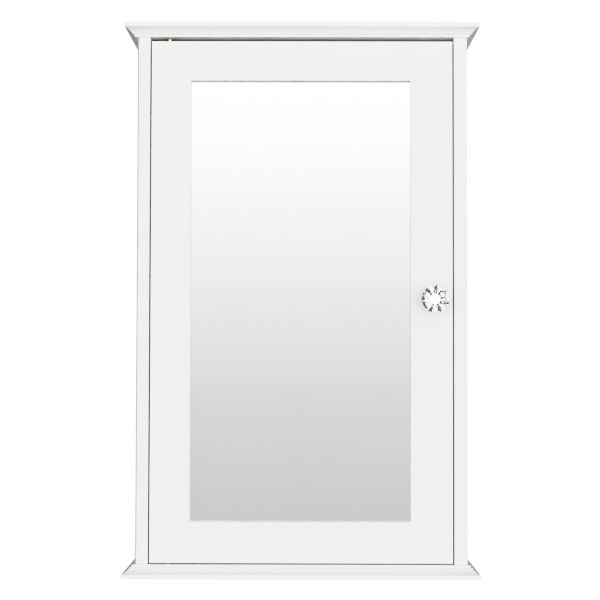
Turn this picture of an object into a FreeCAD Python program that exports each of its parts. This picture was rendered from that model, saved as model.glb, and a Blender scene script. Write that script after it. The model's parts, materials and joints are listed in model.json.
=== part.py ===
import FreeCAD, Part
import math
import os
from FreeCAD import Vector as V

os.makedirs("parts", exist_ok=True)

# ---------------------------------------------------------------------------
# Wall-hung bathroom cabinet with one inset mirror door.  Millimetres.
# X to the right, Y into the wall (wall plane Y = 0, the front faces -Y), Z up.
# Everything is drawn with Z = 0 at the cabinet's mid-height and moved at the
# end so that the origin is midway between the two wall-screw holes.
# ---------------------------------------------------------------------------

# overall
W, H, D = 340.0, 530.0, 150.0      # over the moulded boards
T = 12.7                           # board stock
OVER = 11.4                        # moulding overhang past the side panels, ends and front
ARRIS_IN, ARRIS_OUT = 0.8, 1.0     # rounded front edges of the side panels: inner, and outer right
BEVEL_X, BEVEL_Y = 1.9, 4.6        # bevelled outer left one: across the face, and back along the side

# moulding, measured inward from the edge and down from the outer face
FASCIA = 4.4
EDGE_R = 0.8
COVE_IN0, COVE_IN1 = 0.6, 7.5
COVE_D1 = 10.4
COVE_SAG = 0.8
LIP_IN = 9.0
LIP_R = 0.7

# door
DOOR_T = 15.0
GAP_L, GAP_R, GAP_T, GAP_B = 1.2, 1.2, 3.55, 1.1
STILE_L, STILE_R = 38.2, 40.2
RAIL_T, RAIL_B = 38.1, 39.2
LIP_FRONT = 6.2                    # wood in front of the glass
RABBET = 6.5                       # rabbet behind the opening's edge
GLASS_T, BACKING_T = 3.0, 3.0
GLASS_PLAY = 0.3

# pivots
PIVOT_IN = 17.1                    # from the door's hinge edge
PIVOT_BACK = 6.0                   # behind the door's face
PIN_R, BORE_R = 2.0, 2.05
FLANGE_R = 5.0
FLANGE_T = {1: 1.0, -1: 0.6}       # upper and lower bush
BUSH_R = 3.5
PIN_IN_DOOR = 20.0
PIN_IN_BUSH = 6.0
WASHER_R, WASHER_T = 2.7, 0.42

# back panel and hanging rail
BACK_T = 3.0
BACK_LAP, BACK_PLAY = 6.2, 0.2
RAIL_H = 60.0
WALL_SPACING = 220.0
WALL_HOLE_R = 2.75

# carcass fittings
CAM_R, CAM_DEPTH, CAM_FROM_END = 7.5, 9.6, 24.0
CAM_Y = (-50.0, -92.0)
DOWEL_Y = (-24.0, -118.0)
DOWEL_R, DOWEL_HOLE_R = 3.0, 3.05
BOLT_R, BOLT_HOLE_R = 3.4, 3.45

# shelf
SHELF_PIN_R, SHELF_HOLE_R = 2.5, 2.55
SHELF_PIN_Y = (-28.0, -88.0)
SHELF_ROWS = (-32.0, 0.0, 32.0)
SHELF_FRONT, SHELF_REAR = -108.0, -4.0
SHELF_SIDE_PLAY = 1.5

# magnetic catch
CATCH_Z = 100.0

# knob
KNOB_X, KNOB_Z = 126.52, 0.15
KNOB_R = 13.09
KNOB_BASE_H = 12.5
GLUE_T = 0.05                      # film of glue between the base and the crystal
CROWN_DEG, PAV_DEG = 36.9, 40.8    # slopes of the crystal's front and back facets
TABLE = 0.586                      # flat front, as a share of the radius
CULET_R = 4.77                     # flat that is glued to the base
GIRDLE_T = 1.14
STAR_R, LOW_R = 9.73, 3.91         # where the facet pairs meet, front and back
ROT = 9.2

# derived
X_OUT = W / 2 - OVER               # side panel, outer face
X_IN = X_OUT - T                   # side panel, inner face
Z_IN = H / 2 - T                   # inner face of the top board
Y_FACE = -(D - OVER)               # front of side panels and door
Y_REAR = Y_FACE + DOOR_T           # rear of the door
DX0, DX1 = -X_IN + GAP_L, X_IN - GAP_R
DZ0, DZ1 = -Z_IN + GAP_B, Z_IN - GAP_T
OX0, OX1 = DX0 + STILE_L, DX1 - STILE_R        # mirror opening
OZ0, OZ1 = DZ0 + RAIL_B, DZ1 - RAIL_T
PX, PY = DX0 + PIVOT_IN, Y_FACE + PIVOT_BACK   # pivot axis
Z_MID = -(Z_IN - RAIL_H / 2)                   # mid-height seen from the screw line
X_MID_PANEL = X_IN + T / 2

nodes = {}


# ---------------------------------------------------------------------------
# helpers
# ---------------------------------------------------------------------------
def box(x0, x1, y0, y1, z0, z1):
    return Part.makeBox(x1 - x0, y1 - y0, z1 - z0, V(x0, y0, z0))


def cyl(p, d, r, h):
    return Part.makeCylinder(r, h, V(*p), V(*d))


def cone(p, d, r0, r1, h):
    return Part.makeCone(r0, r1, h, V(*p), V(*d))


def line(a, b):
    return Part.LineSegment(a, b).toShape()


def arc(a, m, b):
    return Part.Arc(a, m, b).toShape()


def pick(shape, test):
    found = []
    for e in shape.Edges:
        m = e.valueAt((e.FirstParameter + e.LastParameter) / 2)
        if test(m, e):
            found.append(e)
    return found


def near(a, b):
    return abs(a - b) < 1e-4


def one(shape):
    """The single solid of a boolean result."""
    s = shape.removeSplitter()
    return s.Solids[0] if len(s.Solids) == 1 else s


def cut(shape, tools):
    return one(shape.cut(tools)) if tools else shape


def group(solids):
    return Part.makeCompound(solids)


def cross_slot(p, d, size, width, depth):
    """Cross recess for a screw head: p on the head's face, d pointing into the screw."""
    a = Part.makeBox(size, width, depth, V(-size / 2, -width / 2, 0))
    b = Part.makeBox(width, size, depth, V(-width / 2, -size / 2, 0))
    s = a.fuse(b)
    s.Placement = FreeCAD.Placement(V(*p), FreeCAD.Rotation(V(0, 0, 1), V(*d)))
    return s


def pan_screw(p, d, head_r, head_h, r, length):
    """Pan-head screw: p under the head, d along the shank."""
    back = (-d[0], -d[1], -d[2])
    head = cyl(p, back, head_r, head_h)
    rim = [e for e in head.Edges
           if near(e.Length, 2 * math.pi * head_r)
           and abs((e.CenterOfMass - V(*p)).dot(V(*back)) - head_h) < 1e-3]
    head = head.makeFillet(head_h * 0.55, rim)
    shank = cyl(p, d, r, length - r)
    tip = V(*p) + V(*d) * (length - r)
    point = cone((tip.x, tip.y, tip.z), d, r, r * 0.25, r)
    top = V(*p) + V(*back) * head_h
    slot = cross_slot((top.x, top.y, top.z), d, head_r * 1.15, head_r * 0.26, head_h * 0.55)
    return one(head.fuse([shank, point]).cut(slot))


def flat_screw(p, d, head_r, r, length):
    """Countersunk screw flush at p, d along the shank."""
    head = cone(p, d, head_r, r, head_r - r)
    shank = cyl(p, d, r, length - r)
    tip = V(*p) + V(*d) * (length - r)
    point = cone((tip.x, tip.y, tip.z), d, r, r * 0.25, r)
    slot = cross_slot(p, d, head_r * 1.1, head_r * 0.24, head_r * 0.32)
    return one(head.fuse([shank, point]).cut(slot))


def dowel(p, d, r, length):
    s = cyl(p, d, r, length)
    rims = [e for e in s.Edges if near(e.Length, 2 * math.pi * r)]
    return s.makeChamfer(0.6, rims)


# ---------------------------------------------------------------------------
# moulded boards
# ---------------------------------------------------------------------------
def moulding_points():
    """Profile from the outer face to the inner face: (inset, depth) lines and arcs."""
    k = EDGE_R * (1 - math.sqrt(0.5))
    kl = LIP_R * (1 - math.sqrt(0.5))
    ax, az = COVE_IN0, FASCIA
    bx, bz = COVE_IN1, COVE_D1
    cl = math.hypot(bx - ax, bz - az)
    nx, nz = (bz - az) / cl, -(bx - ax) / cl
    mid = ((ax + bx) / 2 + nx * COVE_SAG, (az + bz) / 2 + nz * COVE_SAG)
    r2 = 0.25
    k2 = r2 * (1 - math.sqrt(0.5))
    return [
        ("arc", (EDGE_R, 0.0), (k, k), (0.0, EDGE_R)),
        ("line", (0.0, EDGE_R), (0.0, FASCIA - r2)),
        ("arc", (0.0, FASCIA - r2), (k2, FASCIA - k2), (r2, FASCIA)),
        ("line", (r2, FASCIA), (ax, az)),
        ("arc", (ax, az), mid, (bx, bz)),
        ("line", (bx, bz), (LIP_IN, bz)),
        ("line", (LIP_IN, bz), (LIP_IN, T - LIP_R)),
        ("arc", (LIP_IN, T - LIP_R), (LIP_IN + kl, T - kl), (LIP_IN + LIP_R, T)),
    ]


def moulded_board(s):
    """s = +1 for the top board, -1 for the bottom board."""
    def z(d):
        return s * (H / 2 - d)

    prof = moulding_points()

    # front profile, swept along X
    def f(p):
        return V(-W / 2, -D + p[0], z(p[1]))
    e = []
    for seg in prof:
        e.append(line(f(seg[1]), f(seg[2])) if seg[0] == "line" else arc(f(seg[1]), f(seg[2]), f(seg[3])))
    a, b = f((EDGE_R, 0.0)), f((LIP_IN + LIP_R, T))
    back_top, back_low = V(-W / 2, 0, z(0)), V(-W / 2, 0, z(T))
    e += [line(b, back_low), line(back_low, back_top), line(back_top, a)]
    front = Part.Face(Part.Wire(Part.__sortEdges__(e))).extrude(V(W, 0, 0))

    # end profile, both ends, swept along Y
    def g(p, side):
        return V(side * (W / 2 - p[0]), -D, z(p[1]))
    e = []
    for side in (-1, 1):
        for seg in prof:
            if seg[0] == "line":
                e.append(line(g(seg[1], side), g(seg[2], side)))
            else:
                e.append(arc(g(seg[1], side), g(seg[2], side), g(seg[3], side)))
    e.append(line(g((EDGE_R, 0.0), -1), g((EDGE_R, 0.0), 1)))
    e.append(line(g((LIP_IN + LIP_R, T), -1), g((LIP_IN + LIP_R, T), 1)))
    ends = Part.Face(Part.Wire(Part.__sortEdges__(e))).extrude(V(0, D, 0))

    board = front.common(ends)
    zi = s * Z_IN
    up = (0, 0, s)
    tools = [box(-X_IN - BACK_LAP, X_IN + BACK_LAP, -BACK_T, 1.0,
                 min(zi, zi + s * BACK_LAP) - (1.0 if s > 0 else 0.0),
                 max(zi, zi + s * BACK_LAP) + (1.0 if s < 0 else 0.0))]
    for side in (-1, 1):
        x = side * X_MID_PANEL
        for y in CAM_Y:
            tools.append(cyl((x, y, zi), up, BOLT_HOLE_R, 9.4))
        for y in DOWEL_Y:
            tools.append(cyl((x, y, zi), up, DOWEL_HOLE_R, 9.0))
    tools.append(cyl((PX, PY, zi), up, BUSH_R + 0.05, 9.3))
    for x in (-75.0, 75.0):
        tools.append(cyl((x, -BACK_T, zi + s * 3.0), (0, -1, 0), 1.25, 10.5))
    return cut(board, tools)


nodes["top_board"] = moulded_board(1)
nodes["bottom_board"] = moulded_board(-1)


# ---------------------------------------------------------------------------
# side panels
# ---------------------------------------------------------------------------
def side_panel(s):
    """s = -1 left, +1 right."""
    x0, x1 = (X_IN, X_OUT) if s > 0 else (-X_OUT, -X_IN)
    p = box(x0, x1, Y_FACE, 0.0, -Z_IN, Z_IN)
    xi, xo = s * X_IN, s * X_OUT
    p = p.makeFillet(ARRIS_IN, pick(p, lambda m, e: near(m.y, Y_FACE) and near(m.z, 0.0) and near(m.x, xi)))
    out = (s, 0, 0)
    lap0, lap1 = sorted((xi - s * 1.0, xi + s * BACK_LAP))
    tools = [box(lap0, lap1, -BACK_T, 1.0, -Z_IN - 1, Z_IN + 1)]
    if s > 0:
        p = p.makeFillet(ARRIS_OUT, pick(p, lambda m, e: near(m.y, Y_FACE) and near(m.z, 0.0) and near(m.x, xo)))
    else:
        tri = [V(xo + 1.5 * BEVEL_X, Y_FACE - 0.5 * BEVEL_Y, -Z_IN - 1), V(xo - 0.5 * BEVEL_X, Y_FACE + 1.5 * BEVEL_Y, -Z_IN - 1),
               V(xo - 0.5 * BEVEL_X, Y_FACE - 0.5 * BEVEL_Y, -Z_IN - 1)]
        tools.append(Part.Face(Part.makePolygon(tri + [tri[0]])).extrude(V(0, 0, 2 * Z_IN + 2)))
    for end in (-1, 1):
        for y in CAM_Y:
            zc = end * (Z_IN - CAM_FROM_END)
            tools.append(cyl((xi, y, zc), out, CAM_R, CAM_DEPTH))
            tools.append(cyl((s * X_MID_PANEL, y, end * Z_IN), (0, 0, -end), 3.5, CAM_FROM_END))
        for y in DOWEL_Y:
            tools.append(cyl((s * X_MID_PANEL, y, end * Z_IN), (0, 0, -end), DOWEL_HOLE_R, 17.5))
    for y in SHELF_PIN_Y:
        for zr in SHELF_ROWS:
            tools.append(cyl((xi, y, zr), out, SHELF_HOLE_R, 9.0))
    for dz in (14.0, 46.0):
        tools.append(cyl((xi, -BACK_T - T / 2, Z_IN - dz), out, DOWEL_HOLE_R, 8.4))
    for zr in (-222.0, -74.0, 74.0, 222.0):
        tools.append(cyl((s * (X_IN + 3.0), -BACK_T, zr), (0, -1, 0), 1.25, 10.5))
    if s > 0:
        for dz in (-21.0, 21.0):
            tools.append(cyl((xi, -114.0, CATCH_Z + dz), out, 1.55, 9.5))
    return cut(p, tools)


nodes["left_side_panel"] = side_panel(-1)
nodes["right_side_panel"] = side_panel(1)

# ---------------------------------------------------------------------------
# back panel, hanging rail and their fastenings
# ---------------------------------------------------------------------------
BX = X_IN + BACK_LAP - BACK_PLAY
BZ = Z_IN + BACK_LAP - BACK_PLAY
wall_z = Z_IN - RAIL_H / 2
wall_holes = [cyl((x, 5.0, wall_z), (0, -1, 0), WALL_HOLE_R, 40.0)
              for x in (-WALL_SPACING / 2, WALL_SPACING / 2)]
back_spots = [(sx * (X_IN + 3.0), zr) for sx in (-1, 1) for zr in (-222.0, -74.0, 74.0, 222.0)]
back_spots += [(x, sz * (Z_IN + 3.0)) for x in (-75.0, 75.0) for sz in (-1, 1)]
back_tools = list(wall_holes)
for x, zr in back_spots:
    back_tools.append(cone((x, 0, zr), (0, -1, 0), 2.65, 1.25, 1.4))
    back_tools.append(cyl((x, 0, zr), (0, -1, 0), 1.25, BACK_T + 1))
nodes["back_panel"] = cut(box(-BX, BX, -BACK_T, 0, -BZ, BZ), back_tools)
nodes["back_panel_screws"] = group(
    [flat_screw((x, 0.0, zr), (0, -1, 0), 2.6, 1.2, 13.0) for x, zr in back_spots])

rail = box(-X_IN, X_IN, -BACK_T - T, -BACK_T, Z_IN - RAIL_H, Z_IN)
rail = rail.makeFillet(0.8, pick(rail, lambda m, e: near(m.y, -BACK_T - T) and near(m.z, Z_IN - RAIL_H)))
rail_tools = list(wall_holes)
for s in (-1, 1):
    for dz in (14.0, 46.0):
        rail_tools.append(cyl((s * X_IN, -BACK_T - T / 2, Z_IN - dz), (-s, 0, 0), DOWEL_HOLE_R, 16.5))
nodes["hanging_rail"] = cut(rail, rail_tools)
nodes["rail_dowels"] = group(
    [dowel((s * (X_IN + 8.0), -BACK_T - T / 2, Z_IN - dz), (-s, 0, 0), DOWEL_R, 24.0)
     for s in (-1, 1) for dz in (14.0, 46.0)])

# ---------------------------------------------------------------------------
# cam fittings and dowels between side panels and boards
# ---------------------------------------------------------------------------
cams, bolts, caps, dowels = [], [], [], []
for s in (-1, 1):
    xi, out, inn = s * X_IN, (s, 0, 0), (-s, 0, 0)
    for end in (-1, 1):
        into = (0, 0, -end)
        for y in CAM_Y:
            zc = end * (Z_IN - CAM_FROM_END)
            xb = s * X_MID_PANEL
            cam = cyl((xi + s * 0.3, y, zc), out, CAM_R - 0.1, CAM_DEPTH - 0.4)
            cam = cut(cam, [cyl((xb, y, zc + end * 0.6), (0, 0, end), 3.5, 3.8),
                            cyl((xb, y, zc + end * 4.0), (0, 0, end), 2.3, 6.0),
                            cyl((xi, y, zc), out, 2.5, 2.2)])
            cams.append(cam)
            thread = cyl((xb, y, end * (Z_IN + 9.0)), into, BOLT_R, 9.0)
            shank = cyl((xb, y, end * Z_IN), into, 3.2, 15.0)
            neck = cyl((xb, y, end * (Z_IN - 15.0)), into, 2.0, 5.0)
            head = cyl((xb, y, end * (Z_IN - 20.0)), into, 3.2, 3.0)
            bolts.append(one(thread.fuse([shank, neck, head])))
            disc = cyl((xi, y, zc), inn, 8.6, 1.0)
            rim = [e for e in disc.Edges if near(e.Length, 2 * math.pi * 8.6)
                   and near(e.CenterOfMass.x, xi - s * 1.0)]
            disc = disc.makeFillet(0.6, rim)
            caps.append(one(disc.fuse(cyl((xi, y, zc), out, 2.3, 2.0))))
        for y in DOWEL_Y:
            dowels.append(dowel((s * X_MID_PANEL, y, end * (Z_IN + 8.5)), into, DOWEL_R, 25.5))
nodes["cam_locks"] = group(cams)
nodes["cam_bolts"] = group(bolts)
nodes["cam_caps"] = group(caps)
nodes["carcass_dowels"] = group(dowels)

# ---------------------------------------------------------------------------
# pivot bushes
# ---------------------------------------------------------------------------
def bush(s):
    zi = s * Z_IN
    ft = FLANGE_T[s]
    flange = cyl((PX, PY, zi - s * ft), (0, 0, s), FLANGE_R, ft)
    rim = [e for e in flange.Edges if near(e.Length, 2 * math.pi * FLANGE_R)
           and near(e.CenterOfMass.z, zi - s * ft)]
    flange = flange.makeFillet(0.35 * ft, rim)
    body = cyl((PX, PY, zi), (0, 0, s), BUSH_R, 9.0)
    bore = cyl((PX, PY, zi - s * (ft + 1)), (0, 0, s), BORE_R, ft + 1 + 8.0)
    return one(flange.fuse(body).cut(bore))


nodes["top_pivot_bush"] = bush(1)
nodes["bottom_pivot_bush"] = bush(-1)

# ---------------------------------------------------------------------------
# shelf and its pins
# ---------------------------------------------------------------------------
pins = []
for s in (-1, 1):
    for y in SHELF_PIN_Y:
        stem = cyl((s * (X_IN + 8.5), y, 0.0), (-s, 0, 0), SHELF_PIN_R, 17.0)
        end_rim = [e for e in stem.Edges if near(e.Length, 2 * math.pi * SHELF_PIN_R)]
        stem = stem.makeChamfer(0.5, end_rim)
        collar = cyl((s * X_IN, y, 0.0), (-s, 0, 0), 3.6, 1.2)
        pins.append(one(stem.fuse(collar)))
nodes["shelf_pins"] = group(pins)

SX = X_IN - SHELF_SIDE_PLAY
SHELF_Z = SHELF_PIN_R + 0.05
shelf = box(-SX, SX, SHELF_FRONT, SHELF_REAR, SHELF_Z, SHELF_Z + T)
nodes["shelf_board"] = shelf.makeFillet(
    0.8, pick(shelf, lambda m, e: near(m.y, SHELF_FRONT) and near(m.x, 0.0)))

# ---------------------------------------------------------------------------
# door frame: two full-height stiles, two rails between them
# ---------------------------------------------------------------------------
rabbet = box(OX0 - RABBET, OX1 + RABBET, Y_FACE + LIP_FRONT, Y_REAR + 1, OZ0 - RABBET, OZ1 + RABBET)
frame_dowels, frame_dowel_holes = [], []
for xj in (OX0, OX1):
    for zc in (OZ1 + 12.5, OZ1 + 29.0, OZ0 - 12.5, OZ0 - 29.0):
        frame_dowels.append(dowel((xj - 15.0, Y_FACE + DOOR_T / 2, zc), (1, 0, 0), DOWEL_R, 30.0))
        frame_dowel_holes.append(cyl((xj - 15.4, Y_FACE + DOOR_T / 2, zc), (1, 0, 0), DOWEL_HOLE_R, 30.8))
nodes["door_frame_dowels"] = group(frame_dowels)

# offset clips: (x, z) on the rabbet's outer edge, (ux, uz) towards the glass
clip_spots = []
for z in (-150.0, 0.0, 150.0):
    clip_spots.append((OX0 - RABBET, z, 1, 0))
for z in (-150.0, 40.0, 150.0):
    clip_spots.append((OX1 + RABBET, z, -1, 0))
for x in (-60.0, 60.0):
    clip_spots.append((x, OZ1 + RABBET, 0, -1))
    clip_spots.append((x, OZ0 - RABBET, 0, 1))
clip_screw_at = [(x - 6.0 * ux, z - 6.0 * uz) for x, z, ux, uz in clip_spots]
clip_pilots = [cyl((x, Y_REAR + 1, z), (0, -1, 0), 1.55, 9.5) for x, z in clip_screw_at]

pin_holes = [cyl((PX, PY, DZ1 + 1), (0, 0, -1), BORE_R, PIN_IN_DOOR + 1.3),
             cyl((PX, PY, DZ0 - 1), (0, 0, 1), BORE_R, PIN_IN_DOOR + 1.3)]

stile_l = box(DX0, OX0, Y_FACE, Y_REAR, DZ0, DZ1)
stile_l = stile_l.makeFillet(0.9, pick(stile_l, lambda m, e: near(m.y, Y_FACE) and not near(m.x, OX0)))
nodes["door_hinge_stile"] = cut(stile_l, [rabbet] + frame_dowel_holes + clip_pilots + pin_holes)

STRIKE_X = X_IN - 6.5
stile_r = box(OX1, DX1, Y_FACE, Y_REAR, DZ0, DZ1)
stile_r = stile_r.makeFillet(0.9, pick(stile_r, lambda m, e: near(m.y, Y_FACE) and not near(m.x, OX1)))
knob_hole = cyl((KNOB_X, Y_FACE - 1, KNOB_Z), (0, 1, 0), 2.25, DOOR_T + 2)
strike_pilot = cyl((STRIKE_X, Y_REAR + 1, CATCH_Z), (0, -1, 0), 1.25, 10.5)
nodes["door_knob_stile"] = cut(stile_r, [rabbet] + frame_dowel_holes + clip_pilots + [knob_hole, strike_pilot])


def door_rail(z0, z1, z_outer, z_inner):
    r = box(OX0, OX1, Y_FACE, Y_REAR, z0, z1)
    r = r.makeFillet(0.9, pick(r, lambda m, e: near(m.y, Y_FACE) and near(m.z, z_outer)))
    # hairline chamfer at the two joints, on the face
    r = r.makeChamfer(0.2, pick(r, lambda m, e: near(m.y, Y_FACE) and (near(m.x, OX0) or near(m.x, OX1))
                                and abs(m.z - (z0 + z1) / 2) < 5))
    return cut(r, [rabbet] + frame_dowel_holes + clip_pilots)


nodes["door_top_rail"] = door_rail(OZ1, DZ1, DZ1, OZ1)
nodes["door_bottom_rail"] = door_rail(DZ0, OZ0, DZ0, OZ0)

# ---------------------------------------------------------------------------
# mirror, backing, clips
# ---------------------------------------------------------------------------
g = RABBET - GLASS_PLAY
GY0 = Y_FACE + LIP_FRONT
glass = box(OX0 - g, OX1 + g, GY0, GY0 + GLASS_T, OZ0 - g, OZ1 + g)
nodes["mirror_glass"] = glass
nodes["mirror_backing"] = box(OX0 - g, OX1 + g, GY0 + GLASS_T, GY0 + GLASS_T + BACKING_T, OZ0 - g, OZ1 + g)

BACK_FACE = GY0 + GLASS_T + BACKING_T
CLIP_T, CLIP_W = 1.0, 12.0


def offset_clip(x, z, ux, uz):
    """Z-bent strip: foot on the frame, toe on the backing."""
    pts = [(-11.0, Y_REAR), (0.5, Y_REAR), (0.5, BACK_FACE), (8.0, BACK_FACE),
           (8.0, BACK_FACE + CLIP_T), (1.5, BACK_FACE + CLIP_T), (1.5, Y_REAR + CLIP_T),
           (-11.0, Y_REAR + CLIP_T)]
    wx, wz = -uz, ux
    base = [V(x + u * ux - wx * CLIP_W / 2, y, z + u * uz - wz * CLIP_W / 2) for u, y in pts]
    prism = Part.Face(Part.makePolygon(base + [base[0]])).extrude(V(wx * CLIP_W, 0, wz * CLIP_W))
    hole = cyl((x - 6.0 * ux, Y_REAR - 1, z - 6.0 * uz), (0, 1, 0), 1.6, CLIP_T + 2)
    return one(prism.cut(hole))


nodes["mirror_clips"] = group([offset_clip(*c) for c in clip_spots])
nodes["mirror_clip_screws"] = group(
    [pan_screw((x, Y_REAR + CLIP_T, z), (0, -1, 0), 3.0, 1.8, 1.5, 9.0) for x, z in clip_screw_at])

# ---------------------------------------------------------------------------
# pivot pins and washer
# ---------------------------------------------------------------------------
def pivot_pin(s):
    z_in = (DZ1 - PIN_IN_DOOR) if s > 0 else (DZ0 + PIN_IN_DOOR)
    z_out = s * (Z_IN + PIN_IN_BUSH)
    p = cyl((PX, PY, z_in), (0, 0, s), PIN_R, abs(z_out - z_in))
    rims = [e for e in p.Edges if near(e.Length, 2 * math.pi * PIN_R)]
    return p.makeChamfer(0.5, rims)


nodes["top_pivot_pin"] = pivot_pin(1)
nodes["bottom_pivot_pin"] = pivot_pin(-1)
nodes["bottom_pivot_washer"] = one(
    cyl((PX, PY, DZ0), (0, 0, -1), WASHER_R, WASHER_T).cut(
        cyl((PX, PY, DZ0 + 1), (0, 0, -1), BORE_R, WASHER_T + 2)))

# ---------------------------------------------------------------------------
# knob: crystal, base and screw, drawn along +Z and turned to face -Y
# ---------------------------------------------------------------------------
def half_space(p, n):
    b = Part.makeBox(80, 80, 40, V(-40, -40, 0))
    b.Placement = FreeCAD.Placement(V(*p), FreeCAD.Rotation(V(0, 0, 1), V(*n)))
    return b


def polar(r, deg, z):
    a = math.radians(deg)
    return V(r * math.cos(a), r * math.sin(a), z)


def plane_cut(shape, a, b, c):
    """Remove what lies beyond the plane through three points, on the side away from the axis."""
    n = (b - a).cross(c - a)
    n.normalize()
    centre = V(0, 0, z_g0)
    if n.dot(a - centre) < 0:
        n = n * -1.0
    return shape.cut(half_space((a.x, a.y, a.z), (n.x, n.y, n.z)))


CROWN, PAV = math.radians(CROWN_DEG), math.radians(PAV_DEG)
TABLE_R = TABLE * KNOB_R
z_c = KNOB_BASE_H + GLUE_T                                    # flat that is glued to the base
z_g0 = z_c + (KNOB_R - CULET_R) * math.tan(PAV)               # girdle, lower edge
z_g1 = z_g0 + GIRDLE_T
z_t = z_g1 + (KNOB_R - TABLE_R) * math.tan(CROWN)             # table
c22 = math.cos(math.radians(22.5))
z_star = z_g1 + (KNOB_R - STAR_R * c22) * math.tan(CROWN)     # where bezels and stars meet
z_low = z_g0 - (KNOB_R - LOW_R * c22) * math.tan(PAV)
gem = Part.makeCylinder(KNOB_R, z_t - z_c, V(0, 0, z_c))
for k in range(8):
    a = ROT + 45.0 * k
    t0, t1 = polar(TABLE_R, a, z_t), polar(TABLE_R, a + 45, z_t)
    g0, gm, g1 = polar(KNOB_R, a, z_g1), polar(KNOB_R, a + 22.5, z_g1), polar(KNOB_R, a + 45, z_g1)
    star, star_prev = polar(STAR_R, a + 22.5, z_star), polar(STAR_R, a - 22.5, z_star)
    gem = plane_cut(gem, g0, star, star_prev)          # bezel
    gem = plane_cut(gem, t0, t1, star)                 # star
    gem = plane_cut(gem, g0, gm, star)                 # upper girdle pair
    gem = plane_cut(gem, gm, g1, star)
    l0, lm, l1 = polar(KNOB_R, a, z_g0), polar(KNOB_R, a + 22.5, z_g0), polar(KNOB_R, a + 45, z_g0)
    low, low_prev = polar(LOW_R, a + 22.5, z_low), polar(LOW_R, a - 22.5, z_low)
    gem = plane_cut(gem, l0, low, low_prev)            # pavilion main
    gem = plane_cut(gem, l0, lm, low)                  # lower girdle pair
    gem = plane_cut(gem, lm, l1, low)
gem = one(gem)

B = KNOB_BASE_H
pr = [line(V(0, 0, 0), V(7.4, 0, 0)),
      arc(V(7.4, 0, 0), V(7.85, 0, 0.45), V(7.4, 0, 0.9)),
      line(V(7.4, 0, 0.9), V(6.6, 0, 1.3)),
      arc(V(6.6, 0, 1.3), V(4.55, 0, 3.6), V(3.9, 0, 6.6)),
      arc(V(3.9, 0, 6.6), V(4.3, 0, 9.0), V(5.9, 0, B - 1.6)),
      arc(V(5.9, 0, B - 1.6), V(6.35, 0, B - 0.8), V(5.9, 0, B)),
      line(V(5.9, 0, B), V(0, 0, B)),
      line(V(0, 0, B), V(0, 0, 0))]
base = Part.Face(Part.Wire(pr)).revolve(V(0, 0, 0), V(0, 0, 1), 360)
base = one(base.cut(Part.makeCylinder(2.05, 9.0, V(0, 0, -0.5))))


def to_knob(shape):
    s = shape.copy()
    s.Placement = FreeCAD.Placement(V(KNOB_X, Y_FACE, KNOB_Z), FreeCAD.Rotation(V(1, 0, 0), 90))
    return s


nodes["knob_crystal"] = to_knob(gem)
nodes["knob_base"] = to_knob(base)
nodes["knob_screw"] = pan_screw((KNOB_X, Y_REAR, KNOB_Z), (0, -1, 0), 3.8, 2.4, 2.0, DOOR_T + 7.5)

# ---------------------------------------------------------------------------
# magnetic catch and strike plate
# ---------------------------------------------------------------------------
CY0, CY1 = -121.6, -106.6
CX0 = X_IN - 13.0
body = box(CX0, X_IN, CY0, CY1, CATCH_Z - 16, CATCH_Z + 16)
body = body.makeFillet(1.5, pick(body, lambda m, e: near(m.x, CX0) and near(m.y, CY1)
                                 or near(m.x, CX0) and abs(abs(m.z - CATCH_Z) - 16) < 1e-4))
ears = box(X_IN - 3.0, X_IN, -119.5, -108.5, CATCH_Z - 26, CATCH_Z + 26)
ears = ears.makeFillet(3.0, pick(ears, lambda m, e: near(m.x, X_IN - 1.5)))
slots = []
for dz in (-21.0, 21.0):
    zc = CATCH_Z + dz
    slots.append(cyl((X_IN - 4, -115.7, zc), (1, 0, 0), 1.65, 5))
    slots.append(cyl((X_IN - 4, -112.3, zc), (1, 0, 0), 1.65, 5))
    slots.append(box(X_IN - 4, X_IN + 1, -115.7, -112.3, zc - 1.65, zc + 1.65))
PX0, PX1 = X_IN - 11.0, X_IN - 3.2
pocket = box(PX0 - 0.05, PX1 + 0.05, CY0 - 1, -110.35, CATCH_Z - 12.05, CATCH_Z + 12.05)
nodes["catch_housing"] = one(body.fuse(ears).cut(slots + [pocket]))
nodes["catch_pole_plates"] = group([
    box(PX0, PX0 + 1.0, Y_REAR + 1.2, -110.4, CATCH_Z - 12, CATCH_Z + 12),
    box(PX1 - 1.0, PX1, Y_REAR + 1.2, -110.4, CATCH_Z - 12, CATCH_Z + 12)])
nodes["catch_magnet"] = box(PX0 + 1.0, PX1 - 1.0, Y_REAR + 2.4, -110.4, CATCH_Z - 12, CATCH_Z + 12)
nodes["catch_screws"] = group(
    [pan_screw((X_IN - 3.0, -114.0, CATCH_Z + dz), (1, 0, 0), 2.9, 1.8, 1.5, 12.0) for dz in (-21.0, 21.0)])

strike = box(STRIKE_X - 4.8, STRIKE_X + 4.4, Y_REAR, Y_REAR + 1.0, CATCH_Z - 17, CATCH_Z + 17)
strike = strike.makeFillet(2.0, pick(strike, lambda m, e: near(m.y, Y_REAR + 0.5)))
nodes["strike_plate"] = one(strike.cut([
    cone((STRIKE_X, Y_REAR + 1.0, CATCH_Z), (0, -1, 0), 2.25, 1.25, 1.0),
    cyl((STRIKE_X, Y_REAR + 2.0, CATCH_Z), (0, -1, 0), 1.25, 4.0)]))
nodes["strike_screw"] = flat_screw((STRIKE_X, Y_REAR + 1.0, CATCH_Z), (0, -1, 0), 2.2, 1.2, 10.0)

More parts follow.
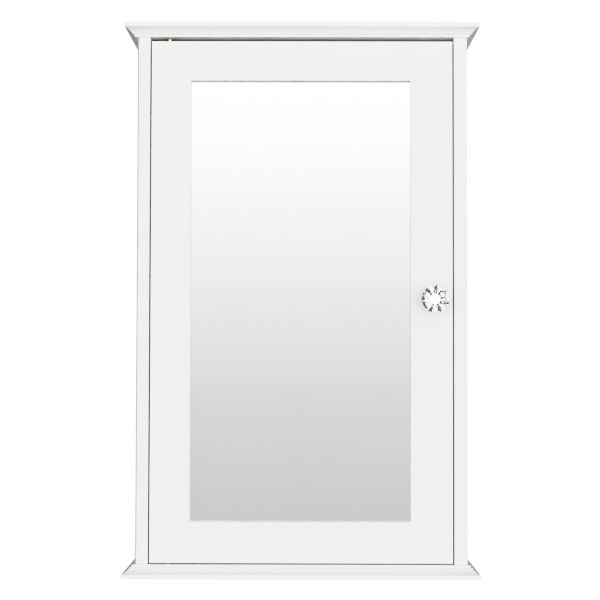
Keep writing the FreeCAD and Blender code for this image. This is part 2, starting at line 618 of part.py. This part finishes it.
# ---------------------------------------------------------------------------
# move to the final origin and write
# ---------------------------------------------------------------------------
for name, shape in nodes.items():
    s = shape.copy()
    s.translate(V(0, 0, Z_MID))
    bb = s.BoundBox
    print("%-22s solids %2d valid %s vol %10.1f  x %8.2f %8.2f  y %8.2f %8.2f  z %8.2f %8.2f" % (
        name, len(s.Solids), s.isValid(), s.Volume, bb.XMin, bb.XMax, bb.YMin, bb.YMax, bb.ZMin, bb.ZMax))
    s.exportStep("parts/%s.step" % name)
print("pivot axis at x %.3f y %.3f, mid-height z %.3f" % (PX, PY, Z_MID))
print("mirror opening x %.2f %.2f  z %.2f %.2f (row frame)" % (OX0, OX1, OZ0 + Z_MID, OZ1 + Z_MID))
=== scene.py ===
import json
import math

import bpy
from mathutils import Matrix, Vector


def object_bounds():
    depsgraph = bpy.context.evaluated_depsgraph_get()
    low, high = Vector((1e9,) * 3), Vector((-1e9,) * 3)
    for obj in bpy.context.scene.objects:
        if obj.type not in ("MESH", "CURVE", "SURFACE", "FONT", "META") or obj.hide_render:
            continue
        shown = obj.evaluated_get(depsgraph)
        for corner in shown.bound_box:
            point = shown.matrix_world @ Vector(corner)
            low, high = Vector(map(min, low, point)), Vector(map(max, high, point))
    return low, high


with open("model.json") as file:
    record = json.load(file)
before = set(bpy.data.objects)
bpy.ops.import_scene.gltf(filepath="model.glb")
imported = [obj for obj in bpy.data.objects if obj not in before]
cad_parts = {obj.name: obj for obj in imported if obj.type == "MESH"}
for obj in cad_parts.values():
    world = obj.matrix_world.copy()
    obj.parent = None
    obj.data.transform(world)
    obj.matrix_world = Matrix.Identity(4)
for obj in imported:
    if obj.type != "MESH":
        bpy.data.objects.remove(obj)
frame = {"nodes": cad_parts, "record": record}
cad_lo, cad_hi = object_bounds()
nodes = frame["nodes"]
scene = bpy.context.scene

Z_MID = -0.2223          # the cabinet's mid-height in the row frame


# ---------------------------------------------------------------------------
# node helpers
# ---------------------------------------------------------------------------
class Tree:
    """Small helper around one material's node tree."""

    def __init__(self, name):
        self.mat = bpy.data.materials.new(name)
        self.mat.use_nodes = True
        self.nt = self.mat.node_tree
        self.nt.nodes.clear()
        self.out = self.add("ShaderNodeOutputMaterial")
        self.bsdf = self.add("ShaderNodeBsdfPrincipled")
        self.link(self.bsdf.outputs["BSDF"], self.out.inputs["Surface"])
        self.tc = None

    def add(self, kind, **props):
        n = self.nt.nodes.new(kind)
        for k, v in props.items():
            setattr(n, k, v)
        return n

    def link(self, a, b):
        self.nt.links.new(a, b)

    def coords(self):
        if self.tc is None:
            self.tc = self.add("ShaderNodeTexCoord")
        return self.tc.outputs["Object"]

    def mapped(self, scale=(1, 1, 1), rotation=(0, 0, 0)):
        m = self.add("ShaderNodeMapping")
        m.inputs["Scale"].default_value = scale
        m.inputs["Rotation"].default_value = rotation
        self.link(self.coords(), m.inputs["Vector"])
        return m.outputs["Vector"]

    def noise(self, scale, detail=2.0, rough=0.5, vector=None, distortion=0.0):
        n = self.add("ShaderNodeTexNoise")
        n.inputs["Scale"].default_value = scale
        n.inputs["Detail"].default_value = detail
        n.inputs["Roughness"].default_value = rough
        n.inputs["Distortion"].default_value = distortion
        self.link(vector or self.coords(), n.inputs["Vector"])
        return n.outputs["Fac"]

    def remap(self, value, lo, hi, a=0.3, b=0.7):
        n = self.add("ShaderNodeMapRange")
        n.inputs["From Min"].default_value = a
        n.inputs["From Max"].default_value = b
        n.inputs["To Min"].default_value = lo
        n.inputs["To Max"].default_value = hi
        self.link(value, n.inputs["Value"])
        return n.outputs["Result"]

    def ramp(self, value, stops):
        n = self.add("ShaderNodeValToRGB")
        els = n.color_ramp.elements
        while len(els) < len(stops):
            els.new(0.5)
        for e, (p, c) in zip(els, stops):
            e.position = p
            e.color = (c[0], c[1], c[2], 1.0)
        self.link(value, n.inputs["Fac"])
        return n.outputs["Color"]

    def bump(self, height, strength, distance, normal=None):
        n = self.add("ShaderNodeBump")
        n.inputs["Strength"].default_value = strength
        n.inputs["Distance"].default_value = distance
        self.link(height, n.inputs["Height"])
        if normal is not None:
            self.link(normal, n.inputs["Normal"])
        return n.outputs["Normal"]

    def set(self, name, value):
        s = self.bsdf.inputs[name]
        if hasattr(value, "links") or isinstance(value, bpy.types.NodeSocket):
            self.link(value, s)
        else:
            s.default_value = value


# ---------------------------------------------------------------------------
# materials
# ---------------------------------------------------------------------------
def lacquer(name, tone=0.895, rough=(0.36, 0.44), peel=0.10):
    """Sprayed satin white lacquer on fibreboard: fine orange peel, faint cloudiness."""
    t = Tree(name)
    cloud = t.noise(9.0, 3.0, 0.55)
    t.set("Base Color", t.ramp(cloud, [
        (0.30, (tone * 0.992, tone * 0.985, tone * 0.968)),
        (0.70, (tone * 1.014, tone * 1.007, tone * 0.990))]))
    t.set("Roughness", t.remap(t.noise(55.0, 3.0, 0.6), rough[0], rough[1]))
    fine = t.noise(620.0, 2.0, 0.5)
    slow = t.noise(60.0, 2.0, 0.5)
    n = t.bump(slow, 0.05, 0.0004)
    t.set("Normal", t.bump(fine, peel, 0.00006, n))
    t.set("Specular IOR Level", 0.45)
    return t.mat


def hardboard(name):
    """Raw hardboard: brown, felted fibres, darker flecks."""
    t = Tree(name)
    fibre = t.noise(420.0, 5.0, 0.7, t.mapped((1.0, 1.0, 0.45)), 0.6)
    blotch = t.noise(14.0, 3.0, 0.5)
    c1 = t.ramp(fibre, [(0.25, (0.098, 0.061, 0.037)), (0.55, (0.168, 0.111, 0.070)), (0.85, (0.232, 0.163, 0.108))])
    c2 = t.ramp(blotch, [(0.3, (0.86, 0.84, 0.82)), (0.7, (1.08, 1.06, 1.04))])
    mix = t.add("ShaderNodeMix", data_type="RGBA", blend_type="MULTIPLY")
    mix.inputs["Factor"].default_value = 1.0
    t.link(c1, mix.inputs["A"])
    t.link(c2, mix.inputs["B"])
    t.set("Base Color", mix.outputs["Result"])
    t.set("Roughness", t.remap(fibre, 0.72, 0.9))
    t.set("Normal", t.bump(fibre, 0.35, 0.0002))
    t.set("Specular IOR Level", 0.3)
    return t.mat


def metal(name, dark, light, rough, scale=180.0, stretch=(1, 1, 1), bump=0.05):
    t = Tree(name)
    v = t.mapped(stretch)
    g = t.noise(scale, 4.0, 0.6, v)
    t.set("Base Color", t.ramp(g, [(0.3, dark), (0.7, light)]))
    t.set("Metallic", 1.0)
    t.set("Roughness", t.remap(t.noise(scale * 2.2, 3.0, 0.6, v), rough[0], rough[1]))
    t.set("Normal", t.bump(g, bump, 0.00004))
    return t.mat


def plastic(name, dark, light, rough, bump=0.06, scale=500.0, sheen=0.5):
    t = Tree(name)
    g = t.noise(30.0, 3.0, 0.5)
    t.set("Base Color", t.ramp(g, [(0.3, dark), (0.7, light)]))
    f = t.noise(scale, 2.0, 0.5)
    t.set("Roughness", t.remap(f, rough[0], rough[1]))
    t.set("Normal", t.bump(f, bump, 0.00004))
    t.set("Specular IOR Level", sheen)
    return t.mat


def beech(name):
    t = Tree(name)
    v = t.mapped((1.0, 1.0, 0.10))
    g = t.noise(320.0, 5.0, 0.65, v, 0.3)
    fleck = t.noise(1500.0, 2.0, 0.5, t.mapped((1.0, 1.0, 0.25)))
    t.set("Base Color", t.ramp(g, [(0.25, (0.46, 0.29, 0.155)), (0.6, (0.60, 0.42, 0.25)), (0.85, (0.68, 0.50, 0.32))]))
    t.set("Roughness", t.remap(fleck, 0.5, 0.7))
    t.set("Normal", t.bump(g, 0.25, 0.0002))
    return t.mat


def silvered():
    """Silvered float glass: a clean mirror with the least trace of wiping marks."""
    t = Tree("mirror_silver")
    wipe = t.noise(22.0, 4.0, 0.6, t.mapped((1.0, 1.0, 0.35), (0, 0.5, 0)), 0.8)
    t.set("Base Color", t.ramp(wipe, [(0.3, (0.930, 0.938, 0.936)), (0.7, (0.945, 0.951, 0.949))]))
    t.set("Metallic", 1.0)
    t.set("Roughness", t.remap(wipe, 0.0, 0.012, 0.45, 0.8))
    return t.mat


def crystal():
    t = Tree("cut_crystal")
    t.set("Base Color", (1.0, 1.0, 1.0, 1.0))
    t.set("Roughness", 0.0)
    t.set("IOR", 1.575)
    t.set("Transmission Weight", 1.0)
    return t.mat


WHITE = lacquer("white_lacquer")
WHITE_IN = lacquer("white_faced_board", 0.83, (0.45, 0.55), 0.05)
RAW = hardboard("raw_hardboard")
BEECH = beech("beech")
ZINC = metal("die_cast_zinc", (0.46, 0.47, 0.48), (0.60, 0.61, 0.62), (0.38, 0.55), 260.0, bump=0.12)
PLATE = metal("zinc_plate", (0.55, 0.57, 0.60), (0.70, 0.71, 0.72), (0.20, 0.32), 240.0)
PIN = metal("bright_steel", (0.80, 0.79, 0.77), (0.90, 0.89, 0.87), (0.34, 0.46), 200.0, (1, 1, 0.1))
BRASS = metal("brown_brass", (0.56, 0.46, 0.375), (0.72, 0.60, 0.49), (0.55, 0.68), 300.0)
CHROME = metal("chrome_plate", (0.74, 0.745, 0.76), (0.80, 0.805, 0.815), (0.03, 0.07), 120.0, bump=0.01)
CAPS = plastic("white_plastic", (0.80, 0.80, 0.785), (0.85, 0.85, 0.835), (0.28, 0.4))
FERRITE = plastic("ferrite", (0.035, 0.035, 0.038), (0.075, 0.075, 0.08), (0.5, 0.75), 0.3, 900.0)
MIRROR = silvered()
CRYSTAL = crystal()
FOIL = metal("silver_foil", (0.88, 0.88, 0.89), (0.93, 0.93, 0.94), (0.0, 0.02), 300.0, bump=0.004)

by_slot = {
    "white_lacquer": WHITE, "backing_board": RAW, "beech": BEECH, "zinc_casting": ZINC,
    "plated_steel": PLATE, "bright_steel": PIN, "brass": BRASS, "white_plastic": CAPS,
    "ferrite": FERRITE, "mirror": MIRROR, "crystal": CRYSTAL, "chrome": CHROME,
}
for sub in frame["record"]["subparts"]:
    ob = nodes[sub["node"]]
    ob.data.materials.clear()
    ob.data.materials.append(by_slot[sub["material_slot"]])


def second_material(node, mat, test):
    """Faces of a node that pass the test take a second material."""
    me = nodes[node].data
    me.materials.append(mat)
    for p in me.polygons:
        p.material_index = 1 if test(p) else 0


# boards that are white-faced on the side seen from inside
second_material("back_panel", WHITE_IN, lambda p: p.normal.y < -0.9)
second_material("mirror_backing", WHITE_IN, lambda p: p.normal.y > 0.9)
# the crystal's back facets are silvered
second_material("knob_crystal", FOIL, lambda p: p.normal.y > 0.3)

# ---------------------------------------------------------------------------
# world: frontal soft light, white behind the object for the camera
# ---------------------------------------------------------------------------
world = bpy.data.worlds.new("studio")
scene.world = world
world.use_nodes = True
wn = world.node_tree
wn.nodes.clear()


def wadd(kind, **props):
    n = wn.nodes.new(kind)
    for k, v in props.items():
        setattr(n, k, v)
    return n


def wmath(op, a, b=None):
    n = wadd("ShaderNodeMath", operation=op)
    for i, v in enumerate((a, b)):
        if v is None:
            continue
        if isinstance(v, (int, float)):
            n.inputs[i].default_value = v
        else:
            wn.links.new(v, n.inputs[i])
    return n.outputs["Value"]


def wsmooth(v, lo, hi):
    n = wadd("ShaderNodeMapRange", interpolation_type="SMOOTHSTEP")
    n.inputs["From Min"].default_value = lo
    n.inputs["From Max"].default_value = hi
    wn.links.new(v, n.inputs["Value"])
    return n.outputs["Result"]


def wcolour(fac, a, b):
    n = wadd("ShaderNodeMix", data_type="RGBA")
    for sock, v in (("A", a), ("B", b)):
        if isinstance(v, tuple):
            n.inputs[sock].default_value = (*v, 1.0)
        else:
            wn.links.new(v, n.inputs[sock])
    wn.links.new(fac, n.inputs["Factor"])
    return n.outputs["Result"]


w_out = wadd("ShaderNodeOutputWorld")
w_tc = wadd("ShaderNodeTexCoord")
w_sep = wadd("ShaderNodeSeparateXYZ")
wn.links.new(w_tc.outputs["Generated"], w_sep.inputs["Vector"])
dx, dy, dz = w_sep.outputs["X"], w_sep.outputs["Y"], w_sep.outputs["Z"]
KEY_TILT, KEY_TURN = math.radians(3.6), math.radians(7.5)     # the broad soft key in front: a little high, a little right
KEY = (math.sin(KEY_TURN) * math.cos(KEY_TILT), -math.cos(KEY_TURN) * math.cos(KEY_TILT), math.sin(KEY_TILT))
toward = wmath("ADD", wmath("ADD", wmath("MULTIPLY", dx, KEY[0]), wmath("MULTIPLY", dy, KEY[1])), wmath("MULTIPLY", dz, KEY[2]))
wide = wmath("SUBTRACT", toward, wmath("MULTIPLY", wmath("MULTIPLY", dz, dz), 0.74))
w_key = wsmooth(wide, 0.36, 0.81)
w_below = wsmooth(wmath("MULTIPLY", dz, -1.0), 0.1, 0.9)
w_back = wsmooth(dy, 0.2, 0.9)
w_fill = wcolour(w_back, (0.212, 0.195, 0.183), (0.108, 0.100, 0.095))          # warm dim sides, darker behind
w_fill = wcolour(w_below, w_fill, (0.205, 0.189, 0.178))
w_col = wcolour(w_key, w_fill, (1.696, 1.714, 1.747))
w_light = wadd("ShaderNodeBackground")
wn.links.new(w_col, w_light.inputs["Color"])
w_light.inputs["Strength"].default_value = 1.0
w_white = wadd("ShaderNodeBackground")
w_white.inputs["Color"].default_value = (1.0, 1.0, 1.0, 1.0)
w_white.inputs["Strength"].default_value = 1.72

# what the cut crystal gathers: a bright field ahead, a dark band round it that is deepest on the left, a dimmer field beyond
GEM_X, GEM_Z = math.sin(math.radians(10.76)), math.sin(math.radians(1.03))
GEM_Y = -math.sqrt(1.0 - GEM_X ** 2 - GEM_Z ** 2)
g_dot = wmath("ADD", wmath("ADD", wmath("MULTIPLY", dx, GEM_X), wmath("MULTIPLY", dy, GEM_Y)), wmath("MULTIPLY", dz, GEM_Z))
g_ang = wmath("ARCCOSINE", wmath("MINIMUM", wmath("MAXIMUM", g_dot, -1.0), 1.0))


def band(lo, hi, soft=2.0):
    a = wsmooth(g_ang, math.radians(lo), math.radians(lo + soft))
    b = wsmooth(g_ang, math.radians(hi - soft), math.radians(hi))
    return wmath("MULTIPLY", a, wmath("SUBTRACT", 1.0, b))


g_wide = wmath("MAXIMUM", wmath("SINE", g_ang), 0.01)
g_ex = wmath("DIVIDE", wmath("SUBTRACT", dx, wmath("MULTIPLY", g_dot, GEM_X)), g_wide)
g_ez = wmath("DIVIDE", wmath("SUBTRACT", dz, wmath("MULTIPLY", g_dot, GEM_Z)), g_wide)
g_even = wmath("SUBTRACT", wmath("SUBTRACT", 0.74, wmath("MULTIPLY", g_ex, 0.43)), wmath("MULTIPLY", g_ez, 0.187))
g_dark = wmath("MULTIPLY", band(13.65, 39.0), wmath("MINIMUM", wmath("MAXIMUM", g_even, 0.0), 1.0))
g_left = wsmooth(wmath("MULTIPLY", dx, -1.0), 0.05, 0.13)
g_hue = wmath("MULTIPLY", g_left, wmath("SUBTRACT", 1.0, wsmooth(dz, 0.13, 0.18)))
g_shade = wcolour(g_hue, (0.146, 0.125, 0.111), (0.145, 0.170, 0.210))
g_field = wcolour(wsmooth(g_ang, math.radians(25.3), math.radians(27.3)), (1.476, 1.476, 1.476), (0.94, 0.94, 0.94))
g_col = wcolour(g_dark, g_field, g_shade)
w_gem = wadd("ShaderNodeBackground")
wn.links.new(g_col, w_gem.inputs["Color"])

w_path = wadd("ShaderNodeLightPath")
w_through = wadd("ShaderNodeMixShader")
wn.links.new(w_path.outputs["Is Transmission Ray"], w_through.inputs["Fac"])
wn.links.new(w_light.outputs["Background"], w_through.inputs[1])
wn.links.new(w_gem.outputs["Background"], w_through.inputs[2])
w_mix = wadd("ShaderNodeMixShader")
wn.links.new(w_path.outputs["Is Camera Ray"], w_mix.inputs["Fac"])
wn.links.new(w_through.outputs["Shader"], w_mix.inputs[1])
wn.links.new(w_white.outputs["Background"], w_mix.inputs[2])
wn.links.new(w_mix.outputs["Shader"], w_out.inputs["Surface"])


# ---------------------------------------------------------------------------
# soft lights that model the sides, top, back and mouldings
# ---------------------------------------------------------------------------
def form_light(name, place, target, size, power, lit):
    ld = bpy.data.lights.new(name, "AREA")
    ld.shape = "DISK"
    ld.size = size
    ld.energy = power
    ob = bpy.data.objects.new(name, ld)
    scene.collection.objects.link(ob)
    ob.location = place
    ob.rotation_euler = (Vector(target) - Vector(place)).to_track_quat("-Z", "Y").to_euler()
    ob.visible_camera = False
    ob.visible_glossy = False
    ob.visible_transmission = False
    group = bpy.data.collections.new(name + "_lit")
    for n in lit:
        group.objects.link(nodes[n])
    ob.light_linking.receiver_collection = group


SIDES = ["left_side_panel", "right_side_panel", "back_panel", "back_panel_screws"]
for side, tag in ((-1, "left"), (1, "right")):
    at = (side * 0.16, -0.07, Z_MID)
    form_light("upper_" + tag, (side * 1.25, 2.6, 1.0), at, 1.0, 41.0, SIDES + ["top_board"])
    form_light("lower_" + tag, (side * 1.25, 2.6, -1.45), at, 1.0, 41.0, SIDES + ["bottom_board"])
# two weak ones that look into the mouldings' coves
form_light("cove_top", (0.0, -2.5, Z_MID - 0.9), (0.0, -0.14, Z_MID + 0.26), 1.2, 4.0, ["top_board"])
form_light("cove_bottom", (0.0, -2.5, Z_MID + 0.7), (0.0, -0.14, Z_MID - 0.26), 1.2, 3.6, ["bottom_board"])


# ---------------------------------------------------------------------------
# stage: pale floor, and the graded card that the mirror faces
# ---------------------------------------------------------------------------
def plane(name, corners, mat):
    me = bpy.data.meshes.new(name)
    me.from_pydata([Vector(c) for c in corners], [], [(0, 1, 2, 3)])
    me.materials.append(mat)
    ob = bpy.data.objects.new(name, me)
    scene.collection.objects.link(ob)
    return ob


def seen_by(ob, camera=False, diffuse=False, glossy=False, transmission=False, shadow=False):
    ob.visible_camera = camera
    ob.visible_diffuse = diffuse
    ob.visible_glossy = glossy
    ob.visible_transmission = transmission
    ob.visible_volume_scatter = False
    ob.visible_shadow = shadow


fm = bpy.data.materials.new("pale_floor")
fm.use_nodes = True
fn = fm.node_tree
fn.nodes.clear()
f_out = fn.nodes.new("ShaderNodeOutputMaterial")
f_dif = fn.nodes.new("ShaderNodeBsdfDiffuse")
f_dif.inputs["Color"].default_value = (0.92, 0.92, 0.92, 1)
f_em = fn.nodes.new("ShaderNodeEmission")
f_em.inputs["Strength"].default_value = 1.45
f_add = fn.nodes.new("ShaderNodeAddShader")
fn.links.new(f_dif.outputs[0], f_add.inputs[0])
fn.links.new(f_em.outputs[0], f_add.inputs[1])
fn.links.new(f_add.outputs[0], f_out.inputs["Surface"])
FZ = cad_lo.z - 0.30
floor = plane("floor", [(-30, -30, FZ), (30, -30, FZ), (30, 30, FZ), (-30, 30, FZ)], fm)
seen_by(floor, camera=True)

cm = bpy.data.materials.new("graded_card")
cm.use_nodes = True
cn = cm.node_tree
cn.nodes.clear()
c_out = cn.nodes.new("ShaderNodeOutputMaterial")
c_em = cn.nodes.new("ShaderNodeEmission")
c_tc = cn.nodes.new("ShaderNodeTexCoord")
c_sep = cn.nodes.new("ShaderNodeSeparateXYZ")
cn.links.new(c_tc.outputs["Object"], c_sep.inputs["Vector"])
c_map = cn.nodes.new("ShaderNodeMapRange")
c_map.inputs["From Min"].default_value = -0.85
c_map.inputs["From Max"].default_value = 0.55
c_map.inputs["To Min"].default_value = 0.0
c_map.inputs["To Max"].default_value = 1.0
cn.links.new(c_sep.outputs["Z"], c_map.inputs["Value"])
c_ramp = cn.nodes.new("ShaderNodeValToRGB")
GRADE = [(-0.80, 0.43), (-0.69, 0.443), (-0.407, 0.506), (-0.121, 0.647), (0.166, 0.974), (0.310, 1.27), (0.454, 1.59), (0.53, 1.75)]
els = c_ramp.color_ramp.elements
while len(els) < len(GRADE):
    els.new(0.5)
for e, (z, v) in zip(els, GRADE):
    e.position = (z + 0.85) / 1.40
    e.color = (v / 2.0, v / 2.0, v / 2.0, 1.0)
cn.links.new(c_map.outputs["Result"], c_ramp.inputs["Fac"])
cn.links.new(c_ramp.outputs["Color"], c_em.inputs["Color"])


def card_fall(value, lo, hi, a, b):
    n = cn.nodes.new("ShaderNodeMapRange")
    n.interpolation_type = "SMOOTHSTEP"
    n.inputs["From Min"].default_value = lo
    n.inputs["From Max"].default_value = hi
    n.inputs["To Min"].default_value = a
    n.inputs["To Max"].default_value = b
    cn.links.new(value, n.inputs["Value"])
    return n.outputs["Result"]


def card_math(op, a, b=None):
    n = cn.nodes.new("ShaderNodeMath")
    n.operation = op
    for i, v in enumerate((a, b)):
        if v is not None:
            cn.links.new(v, n.inputs[i])
    return n.outputs["Value"]


# the card gives little light to what the mirror only shines on, and fades out at its edges
c_path = cn.nodes.new("ShaderNodeLightPath")
cn.links.new(card_fall(c_path.outputs["Diffuse Depth"], 0.0, 1.0, 2.0 / 0.944, 0.25), c_em.inputs["Strength"])
c_keep = card_math("MULTIPLY", card_fall(card_math("ABSOLUTE", c_sep.outputs["X"]), 1.2, 2.3, 1.0, 0.0),
                   card_math("MULTIPLY", card_fall(c_sep.outputs["Z"], 1.1, 1.75, 1.0, 0.0),
                             card_fall(c_sep.outputs["Z"], -2.15, -1.5, 0.0, 1.0)))
c_clear = cn.nodes.new("ShaderNodeBsdfTransparent")
c_mix = cn.nodes.new("ShaderNodeMixShader")
cn.links.new(c_keep, c_mix.inputs["Fac"])
cn.links.new(c_clear.outputs[0], c_mix.inputs[1])
cn.links.new(c_em.outputs[0], c_mix.inputs[2])
cn.links.new(c_mix.outputs[0], c_out.inputs["Surface"])
card = plane("graded_card", [(-2.4, -3.0, -2.2), (2.4, -3.0, -2.2), (2.4, -3.0, 1.8), (-2.4, -3.0, 1.8)], cm)
seen_by(card, glossy=True)

# ---------------------------------------------------------------------------
# camera at the photograph's viewpoint
# ---------------------------------------------------------------------------
cd = bpy.data.cameras.new("camera")
cam = bpy.data.objects.new("camera", cd)
scene.collection.objects.link(cam)
cd.sensor_fit = "HORIZONTAL"
cd.sensor_width = 36.0
cd.lens = 36.0 * 1500.0 / 600.0
cd.clip_start, cd.clip_end = 0.05, 200.0
cam.location = (0.0039, -1.5724, -0.0514 + Z_MID)
cam.rotation_euler = (math.radians(90.0 + 2.032), math.radians(-0.12), math.radians(0.21))
scene.camera = cam

scene.view_settings.view_transform = "Standard"
scene.view_settings.look = "None"
scene.view_settings.exposure = 0.0
scene.view_settings.gamma = 1.0

# tone response of a photograph: firm mid-tones, soft shoulder
TONE_WHITE = 1.7
TONE = [(0.10, 0.075), (0.20, 0.190), (0.30, 0.360), (0.40, 0.540), (0.50, 0.680), (0.60, 0.775),
        (0.70, 0.833), (0.80, 0.867), (1.00, 0.920), (1.30, 0.968)]
scene.view_settings.use_curve_mapping = True
tone = scene.view_settings.curve_mapping
tone.white_level = (TONE_WHITE, TONE_WHITE, TONE_WHITE)
curve = tone.curves[3]
curve.points[0].location = (0.0, 0.0)
curve.points[1].location = (1.0, 1.0)
for x, y in TONE:
    curve.points.new(x / TONE_WHITE, y)
tone.update()
scene.cycles.use_denoising = True
scene.cycles.max_bounces = 16
scene.cycles.diffuse_bounces = 12
scene.cycles.caustics_refractive = False
scene.cycles.transmission_bounces = 16
scene.cycles.glossy_bounces = 8
